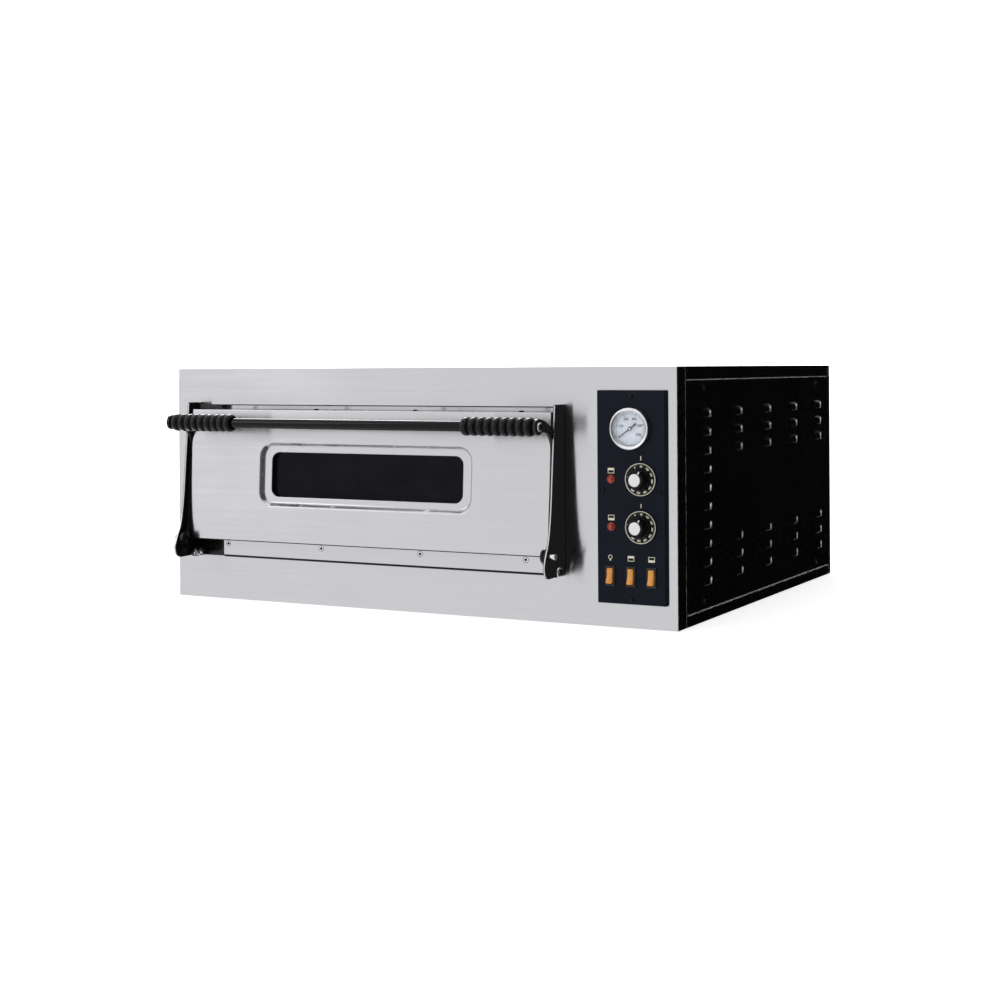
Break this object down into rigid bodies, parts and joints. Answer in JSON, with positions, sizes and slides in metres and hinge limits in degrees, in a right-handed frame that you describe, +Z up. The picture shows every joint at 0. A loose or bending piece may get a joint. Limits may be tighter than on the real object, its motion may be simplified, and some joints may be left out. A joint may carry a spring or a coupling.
{
  "type": "deck oven",
  "caption": "Single-deck electric pizza oven with a drop-down windowed door, bar handle with ribbed grips, and a control panel with gauge, knobs and rockers.",
  "frame": {"origin": "middle of the casing's underside, on the surface the oven stands on", "axes": "+X to the right seen from the front, -Y out through the door, +Z up"},
  "size_m": [0.981, 0.9385, 0.413],
  "materials": {
    "fascia_steel": "brushed stainless sheet",
    "chamber_steel": "bright aluminised sheet",
    "black_casing": "black satin powder coat",
    "cheek_black": "black gloss enamel",
    "panel_black": "dark blue-black satin",
    "zinc_steel": "zinc plated",
    "bright_bolt": "polished",
    "black_bolt": "black oxide",
    "stone": "refractory",
    "wool": "mineral wool",
    "element_steel": "dark incoloy sheath",
    "dark_glass": "tinted oven glass",
    "clear_glass": "clear",
    "gasket": "woven glass fibre",
    "black_plastic": "black",
    "knob_plastic": "black phenolic",
    "grip_rubber": "black moulded",
    "dial_white": "white printed",
    "needle_black": "black",
    "red_lens": "red translucent",
    "amber_rocker": "amber translucent",
    "beige_plastic": "beige",
    "bulb_glass": "frosted"
  },
  "bodies": {
    "casing": {"casing_frame": "black_casing", "base_pan": "black_casing", "top_cover": "black_casing", "left_side_panel": "black_casing", "right_side_panel": "black_casing", "rear_panel": "black_casing", "casing_screws": "black_bolt", "front_fascia": "fascia_steel", "sill_strip": "fascia_steel", "sill_screws": "zinc_steel", "chamber_front_frame": "fascia_steel", "chamber_shell": "chamber_steel", "deck_stones": "stone", "deck_supports": "zinc_steel", "lower_elements": "element_steel", "upper_elements": "element_steel", "chamber_insulation": "wool", "support_beams": "zinc_steel", "bay_partition": "zinc_steel", "chamber_lamp_housing": "zinc_steel", "chamber_lamp_bulb": "bulb_glass", "chamber_lamp_glass": "clear_glass", "vent_pipe": "chamber_steel", "contactor": "beige_plastic", "terminal_block": "beige_plastic", "cable_gland": "black_plastic", "control_panel": "panel_black", "panel_screws": "black_bolt", "gauge_case": "bright_bolt", "gauge_dial": "dial_white", "gauge_glass": "clear_glass", "thermostats": "beige_plastic", "indicator_lamps": "red_lens", "switch_bodies": "black_plastic", "hinge_bracket_left": "cheek_black", "hinge_bracket_right": "cheek_black"},
    "door": {"door_outer_skin": "fascia_steel", "door_inner_panel": "chamber_steel", "door_insulation": "wool", "window_gasket": "gasket", "window_glass_outer": "dark_glass", "window_glass_inner": "clear_glass", "door_screws": "black_bolt", "door_cheek_left": "cheek_black", "door_cheek_right": "cheek_black", "handle_arm_left": "cheek_black", "handle_arm_right": "cheek_black", "handle_grip_left": "grip_rubber", "handle_grip_right": "grip_rubber", "handle_rod": "cheek_black", "rod_end_bolts": "black_bolt", "arm_bolts": "bright_bolt", "pivot_bolts": "black_bolt", "door_spacers": "zinc_steel"},
    "upper_knob": {"knob_upper": "knob_plastic"},
    "lower_knob": {"knob_lower": "knob_plastic"},
    "lamp_rocker": {"rocker_1": "amber_rocker"},
    "top_heat_rocker": {"rocker_2": "amber_rocker"},
    "bottom_heat_rocker": {"rocker_3": "amber_rocker"},
    "needle": {"gauge_needle": "needle_black"}
  },
  "joints": [
    {"name": "door_hinge", "type": "hinge", "parent": "casing", "child": "door", "pos_m": [-0.074, -0.431, 0.085], "axis": [1, 0, 0], "range_deg": [0, 85]},
    {"name": "upper_knob_turn", "type": "hinge", "parent": "casing", "child": "upper_knob", "pos_m": [0.4295, -0.417, 0.2355], "axis": [0, 1, 0], "range_deg": [0, 270]},
    {"name": "lower_knob_turn", "type": "hinge", "parent": "casing", "child": "lower_knob", "pos_m": [0.4295, -0.417, 0.1605], "axis": [0, 1, 0], "range_deg": [0, 270]},
    {"name": "gauge_needle_turn", "type": "hinge", "parent": "casing", "child": "needle", "pos_m": [0.4125, -0.418, 0.315], "axis": [0, 1, 0], "range_deg": [0, 250]},
    {"name": "lamp_rocker_tip", "type": "hinge", "parent": "casing", "child": "lamp_rocker", "pos_m": [0.3765, -0.4175, 0.082], "axis": [1, 0, 0], "range_deg": [0, 26]},
    {"name": "top_heat_rocker_tip", "type": "hinge", "parent": "casing", "child": "top_heat_rocker", "pos_m": [0.412, -0.4175, 0.082], "axis": [1, 0, 0], "range_deg": [0, 26]},
    {"name": "bottom_heat_rocker_tip", "type": "hinge", "parent": "casing", "child": "bottom_heat_rocker", "pos_m": [0.447, -0.4175, 0.082], "axis": [1, 0, 0], "range_deg": [0, 26]}
  ]
}
